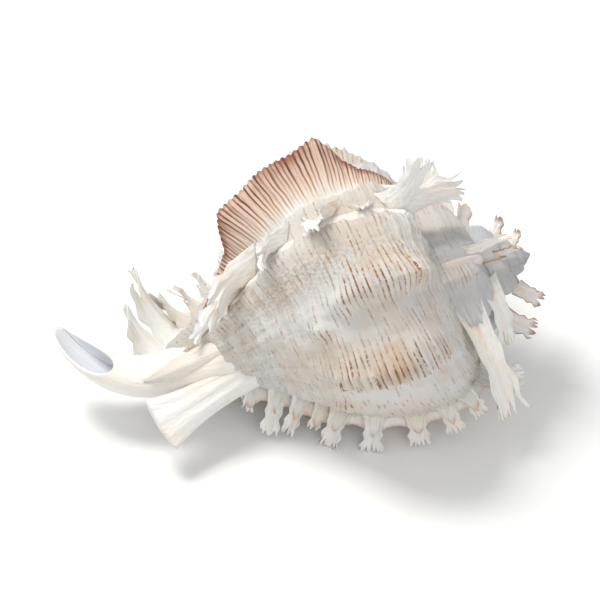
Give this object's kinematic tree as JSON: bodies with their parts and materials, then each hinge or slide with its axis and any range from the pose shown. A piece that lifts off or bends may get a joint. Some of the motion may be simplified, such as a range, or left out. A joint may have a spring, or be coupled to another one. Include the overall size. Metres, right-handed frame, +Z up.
{
  "type": "branched murex sea shell",
  "caption": "Large spiny sea shell with a coiled spire, frilled ribs of guttered spines, a wide porcelain mouth and a flattened, upturned canal.",
  "frame": {"origin": "middle of the base of the bounding box, on the surface the shell lies on", "axes": "+X along the coiling axis towards the apex, +Z up as the shell lies mouth down, +Y away from the side with the oldest frilled rib of the last whorl"},
  "size_m": [0.1852, 0.1448, 0.1086],
  "materials": {
    "shell": "satin",
    "porcelain": "gloss"
  },
  "bodies": {
    "root": {"murex_shell": "shell"}
  },
  "joints": []
}
